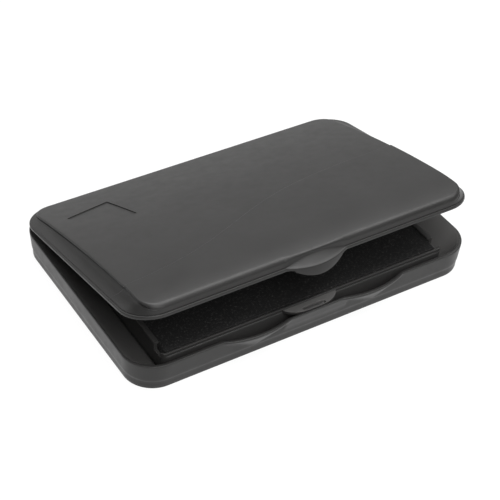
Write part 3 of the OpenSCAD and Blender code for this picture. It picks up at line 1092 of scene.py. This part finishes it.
def make_cloth():
    """The cover: a thin skin over the top and sides of the felt, open below."""
    shape = pad_outline(110, 72, PAD_R)

    def at(inset, z):
        return pad_ring(shape, COVER_OUT, inset, z)

    edge = 0.9  # rounding between the sides and the face
    inner = at(edge, 0)
    inner[:, 2] = cloth_top(inner[:, 0], inner[:, 1]) - CLOTH_T
    low = PAD_BOTTOM + 0.3
    shoulder = PAD_TOP - 1.75
    inside = ((CLOTH_T + 0.1, shoulder + 0.3), (CLOTH_T, shoulder), (CLOTH_T, low + 2), (CLOTH_T, low))
    hem = ((CLOTH_T - 0.1, low - 0.06), (0.1, low - 0.06))
    outside = ((0, low), (0, low + 2), (0, shoulder))
    rings = [inner] + [at(*place) for place in inside + hem + outside]
    final = at(edge, 0)
    final[:, 2] = cloth_top(final[:, 0], final[:, 1])
    for k in range(1, 7):
        a = math.pi / 2 * k / 7
        ring = at(edge * (1 - math.cos(a)), 0)
        ring[:, 2] = mix(shoulder, final[:, 2], math.sin(a))
        rings.append(ring)
    rings.append(final)
    start = shape.fill(rings[0], lambda x, y: cloth_top(x, y) - CLOTH_T)
    end = shape.fill(rings[-1], cloth_top)
    return mesh_object("ink_cover", *loft(shape, rings, start, end))


def make_felt():
    shape = pad_outline(50, 34, 2)
    top = PAD_TOP - 1.35
    places = ((0.5, PAD_BOTTOM), (0.15, PAD_BOTTOM + 0.1), (0, PAD_BOTTOM + 0.5), (0.05, 5.5),
              (0, top - 0.85), (0.2, top - 0.35), (0.8, top))
    rings = [pad_ring(shape, -FELT_IN, *place) for place in places]
    ends = shape.fill(rings[0], level(PAD_BOTTOM)), shape.fill(rings[-1], level(top))
    return mesh_object("felt_block", *loft(shape, rings, *ends))


lid = make_lid()
open_lid(lid)
shade(lid, 40)
finish_piece(lid, lid_plastic, "lid", "lid_shell")

case = make_case()
shade(case, 40)
finish_piece(case, case_plastic, "case", "case_base")

tray = make_tray()
shade(tray, 40)
finish_piece(tray, tray_plastic, "case", "pad_tray")

cover = make_cloth()
shade(cover, 60)
finish_piece(cover, cloth, "case", "ink_cloth")

block = make_felt()
shade(block, 60)
finish_piece(block, felt, "case", "felt_core")


# ---------------------------------------------------------------- floor, light and camera
def make_floor():
    size = 3.0
    mesh = bpy.data.meshes.new("floor")
    corners = [(-size, -size, 0), (size, -size, 0), (size, size, 0), (-size, size, 0)]
    mesh.from_pydata(corners, [], [(0, 1, 2, 3)])
    floor = bpy.data.objects.new("floor", mesh)
    floor.location.z = -0.00005
    bpy.context.scene.collection.objects.link(floor)
    material, tree, shader, place = nodes_of("pale_floor")
    tree.links.new(ramp(tree, noise(tree, place, 3, 2), 0.079, 0.081), shader.inputs["Base Color"])
    shader.inputs["Roughness"].default_value = 0.9
    shader.inputs["Specular IOR Level"].default_value = 0.1
    shader.inputs["Emission Color"].default_value = (1, 1, 1, 1)
    shader.inputs["Emission Strength"].default_value = 0.94
    mesh.materials.append(material)


def soft_light(name, azimuth, elevation, distance, size, power):
    """A square softbox aimed at the object. Azimuth 0 stands at the tab side, 90 at the right."""
    data = bpy.data.lights.new(name, "AREA")
    data.shape = "SQUARE"
    data.size = size
    data.energy = power
    light = bpy.data.objects.new(name, data)
    a, e = math.radians(azimuth), math.radians(elevation)
    flat = distance * math.cos(e)
    light.location = (flat * math.sin(a), -flat * math.cos(a), distance * math.sin(e))
    aim = Vector((0, 0, 0.01)) - light.location
    light.rotation_euler = aim.to_track_quat("-Z", "Y").to_euler()
    bpy.context.scene.collection.objects.link(light)


def make_camera():
    """Stands at the front left, above, with a slight roll, as the photograph was taken."""
    azimuth, elevation, roll = math.radians(-34.09), math.radians(40.27), math.radians(3.72)
    distance = 0.519
    aim_right, aim_up = 0.00157, 0.0017  # where the camera aims, from the frame's origin
    flat = math.cos(elevation)
    forward = Vector((-math.sin(azimuth) * flat, math.cos(azimuth) * flat, -math.sin(elevation)))
    level = Vector((math.cos(azimuth), math.sin(azimuth), 0))
    up = level.cross(forward)
    right = level * math.cos(roll) + up * math.sin(roll)
    above = up * math.cos(roll) - level * math.sin(roll)
    data = bpy.data.cameras.new("camera")
    data.sensor_width = 36
    data.lens = 104.7
    data.clip_start = 0.05
    camera = bpy.data.objects.new("camera", data)
    place = right * aim_right + above * aim_up - forward * distance
    turn = Matrix((right, above, -forward)).transposed().to_4x4()
    camera.matrix_world = Matrix.Translation(place) @ turn
    bpy.context.scene.collection.objects.link(camera)
    bpy.context.scene.camera = camera


def make_world(strength):
    world = bpy.data.worlds.new("studio")
    world.use_nodes = True
    world.node_tree.nodes["Background"].inputs["Color"].default_value = (1, 1, 1, 1)
    world.node_tree.nodes["Background"].inputs["Strength"].default_value = strength
    bpy.context.scene.world = world


make_floor()
make_world(0.02)
soft_light("overhead", 100, 75, 1.6, 1.4, 37)
soft_light("back_right", 150, 28, 1.6, 1.6, 4.5)
soft_light("back_left", 205, 40, 1.6, 1.2, 7)
soft_light("front", -10, 45, 1.6, 1.2, 14)
make_camera()
bpy.context.scene.view_settings.view_transform = "Standard"
